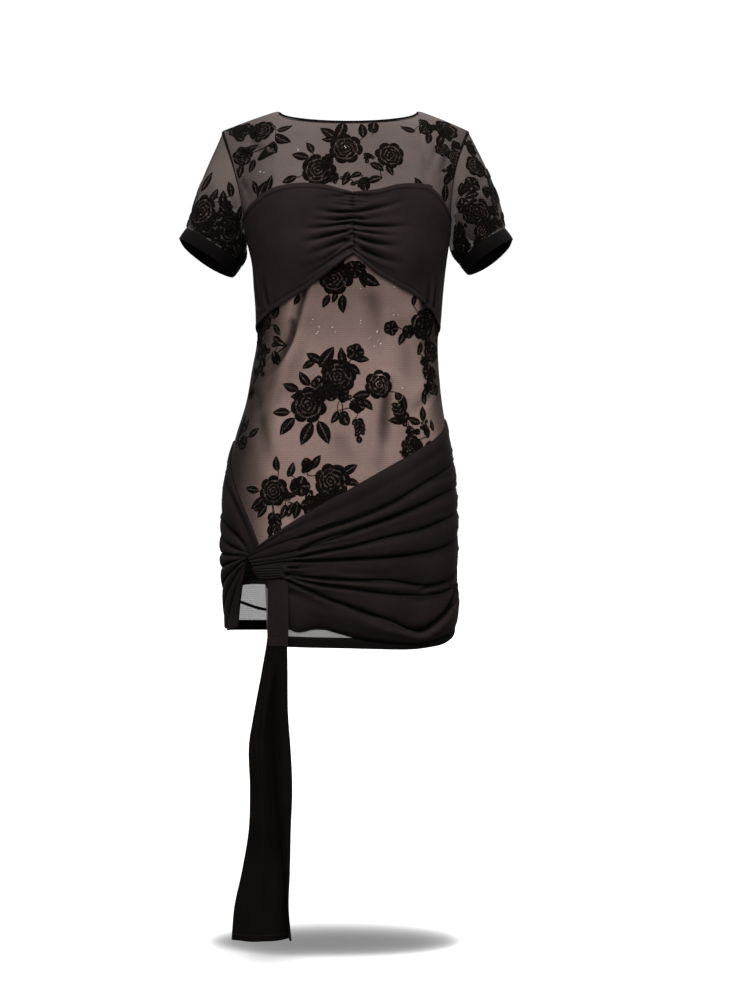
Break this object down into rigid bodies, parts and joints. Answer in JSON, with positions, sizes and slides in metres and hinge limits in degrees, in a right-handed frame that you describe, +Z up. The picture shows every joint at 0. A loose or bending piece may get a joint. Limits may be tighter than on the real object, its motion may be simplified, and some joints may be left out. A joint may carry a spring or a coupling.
{
  "type": "party dress",
  "caption": "Short-sleeved sheer net party dress with a ruched bust overlay and a wrap tied at one hip, held in the hollow form it has when worn.",
  "frame": {"origin": "middle of the line between the two neck points, where the wearer's shoulders carry the dress", "axes": "+Z up, -Y out of the front, +X to the viewer's right"},
  "size_m": [0.5153, 0.2398, 1.257],
  "materials": {
    "flocked_net": "sheer warp-knit net with black flocked roses",
    "sheer_net": "sheer warp-knit net with black flocked roses, one layer",
    "net_hem": "turned hem, matt",
    "jersey": "matt black jersey"
  },
  "bodies": {
    "root": {"mesh_front": "flocked_net", "mesh_back": "flocked_net", "sleeve_left": "sheer_net", "sleeve_right": "sheer_net", "cuff_left": "net_hem", "cuff_right": "net_hem", "hem_band_front": "net_hem", "hem_band_back": "net_hem", "neck_binding": "jersey", "bust_left": "jersey", "bust_right": "jersey", "wrap_front": "jersey", "wrap_side": "jersey", "wrap_back": "jersey", "tie_loop": "jersey", "tie_short_end": "jersey", "tie_long_end": "jersey"}
  },
  "joints": []
}
